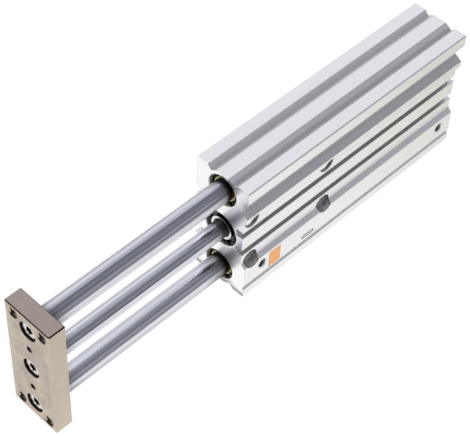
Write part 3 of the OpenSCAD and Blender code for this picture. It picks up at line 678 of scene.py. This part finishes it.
# The camera sees an even white floor. Metal sees it brighter beside the part, darker far to the sides
# and greyer toward the back.
floor_half = 6
floor_drop = 0.05 * mm
floor_glow = 0.96
camera_glow = 1.03
near_from = 12 * mm
near_to = 45 * mm
aside_from = 250 * mm
aside_to = 450 * mm
back_from = 10 * mm
back_to = -105 * mm
paper, tree, shader, place = start_finish("white_backdrop_paper", 0, 0.9)
shader.inputs["Base Color"].default_value = linear("F4F4F4")
spot = add_node(tree, "ShaderNodeSeparateXYZ", {0: place}).outputs
aside = add_node(tree, "ShaderNodeMath", {0: spot["Y"]}, operation="ABSOLUTE").outputs[0]
near_rise = add_node(tree, "ShaderNodeMapRange", {
    "Value": aside, "From Min": near_from, "From Max": near_to, "To Min": 1.06, "To Max": 1
}).outputs[0]
side_fall = add_node(tree, "ShaderNodeMapRange", {
    "Value": aside, "From Min": aside_from, "From Max": aside_to, "To Min": 1, "To Max": 0.35
}).outputs[0]
fall = add_node(tree, "ShaderNodeMath", {0: near_rise, 1: side_fall}, operation="MULTIPLY").outputs[0]
front_share = add_node(tree, "ShaderNodeMapRange", {
    "Value": spot["X"], "From Min": back_to, "From Max": back_from
}).outputs[0]
back_tint = add_node(tree, "ShaderNodeMix", {
    "Factor": front_share, "A": linear("E0E0D9"), "B": linear("FFFFFF")
}, data_type="RGBA").outputs["Result"]
for_camera = add_node(tree, "ShaderNodeLightPath").outputs["Is Camera Ray"]
paper_tint = add_node(tree, "ShaderNodeMix", {
    "Factor": for_camera, "A": back_tint, "B": linear("FFFFFF")
}, data_type="RGBA").outputs["Result"]
paper_level = add_node(tree, "ShaderNodeMix", {
    "Factor": for_camera, "A": fall, "B": camera_glow
}).outputs[0]
glow = add_node(tree, "ShaderNodeEmission", {"Color": paper_tint, "Strength": paper_level}).outputs[0]
glow_share = add_node(tree, "ShaderNodeMath", {
    0: seen_directly(tree), 1: floor_glow
}, operation="MULTIPLY").outputs[0]
lit = add_node(tree, "ShaderNodeMixShader", {0: glow_share, 1: shader.outputs[0], 2: glow}).outputs[0]
tree.links.new(lit, tree.nodes["Material Output"].inputs["Surface"])
bm = bmesh.new()
bmesh.ops.create_grid(bm, x_segments=1, y_segments=1, size=floor_half)
bmesh.ops.translate(bm, vec=(0, 0, -floor_drop), verts=bm.verts[:])
floor = make_piece("floor", bm, paper)

sky_level = 0.95
world = bpy.data.worlds.new("white_studio")
world.use_nodes = True
tree = world.node_tree
level = add_node(tree, "ShaderNodeMix", {"Factor": seen_directly(tree), "A": sky_level, "B": 1}).outputs[0]
sky = tree.nodes["Background"]
sky.inputs["Color"].default_value = linear("FFFFFF")
tree.links.new(level, sky.inputs["Strength"])
bpy.context.scene.world = world

lamp_place = Vector((0.4, -0.7, 1.3))
lamp = bpy.data.objects.new("soft_lamp", bpy.data.lights.new("soft_lamp", "AREA"))
lamp.data.size = 1.2
lamp.data.energy = 5
to_object = (-lamp_place).to_track_quat("-Z", "Y").to_matrix().to_4x4()
lamp.matrix_world = Matrix.Translation(lamp_place) @ to_object
bpy.context.scene.collection.objects.link(lamp)

# The shades of the panel stand at angles around X, in degrees from straight up toward +Y.
panel_radius = 1.6
panel_half_length = 3
panel_from = -98
panel_to = 90
panel_steps = 48
fold_shades = (
    (-98, "E8E8EC"), (-88, "CACAD0"), (-76, "DADAE0"), (-64, "FFFFFF"), (-52, "FAFAFF"), (-42, "E6E6F0"),
    (-30, "ECECF6"), (-18, "F4F4FC"), (-6, "868790"), (7, "5E5F67"), (21, "B6B7C0"), (35, "5C5D64"),
    (52, "95969F"), (68, "B4B5BE"), (80, "8C8D95"), (90, "5C5D63")
)
cloth, tree, shader, place = start_finish("dark_panel_cloth", 0, 0.9)
around_x = add_node(tree, "ShaderNodeSeparateXYZ", {0: place}).outputs
angle = add_node(tree, "ShaderNodeMath", {
    0: around_x["Y"], 1: around_x["Z"]
}, operation="ARCTAN2").outputs[0]
panel_share = add_node(tree, "ShaderNodeMapRange", {
    "Value": angle, "From Min": math.radians(panel_from), "From Max": math.radians(panel_to)
}).outputs[0]
folds = add_node(tree, "ShaderNodeValToRGB", {0: panel_share})
ramp = folds.color_ramp
ramp.interpolation = "B_SPLINE"
while len(ramp.elements) < len(fold_shades):
    ramp.elements.new(0.5)
for stop, (fold_angle, code) in zip(ramp.elements, fold_shades):
    stop.position = (fold_angle - panel_from) / (panel_to - panel_from)
    stop.color = linear(code)
glow = add_node(tree, "ShaderNodeEmission", {"Color": folds.outputs["Color"], "Strength": 1}).outputs[0]
tree.links.new(glow, tree.nodes["Material Output"].inputs["Surface"])
bm = bmesh.new()
start = Matrix.Rotation(math.radians(-panel_from), 3, "X") @ Vector((0, 0, panel_radius))
ends = [bm.verts.new(start + Vector((side * panel_half_length, 0, 0))) for side in (-1, 1)]
edge = bm.edges.new(ends)
bmesh.ops.spin(bm, geom=[edge, *ends], cent=(0, 0, 0), axis=(-1, 0, 0),
    angle=math.radians(panel_to - panel_from), steps=panel_steps)
panel = make_piece("dark_panel", bm, cloth)

wall_place = Vector((1.2, 0, 1.3))
wall_half = 1.3
cloth, tree, shader, place = start_finish("dark_wall_cloth", 0, 0.9)
glow = add_node(tree, "ShaderNodeEmission", {"Color": linear("5A5A5C"), "Strength": 1}).outputs[0]
tree.links.new(glow, tree.nodes["Material Output"].inputs["Surface"])
bm = bmesh.new()
bmesh.ops.create_grid(bm, x_segments=1, y_segments=1, size=wall_half,
    matrix=Matrix.Translation(wall_place) @ Matrix.Rotation(-math.pi / 2, 4, "Y"))
wall = make_piece("dark_wall", bm, cloth)
for dark_piece in (panel, wall):
    dark_piece.visible_camera = False
    dark_piece.visible_diffuse = False
    dark_piece.visible_shadow = False
    dark_piece.visible_transmission = False

bpy.context.scene.view_settings.view_transform = "Standard"
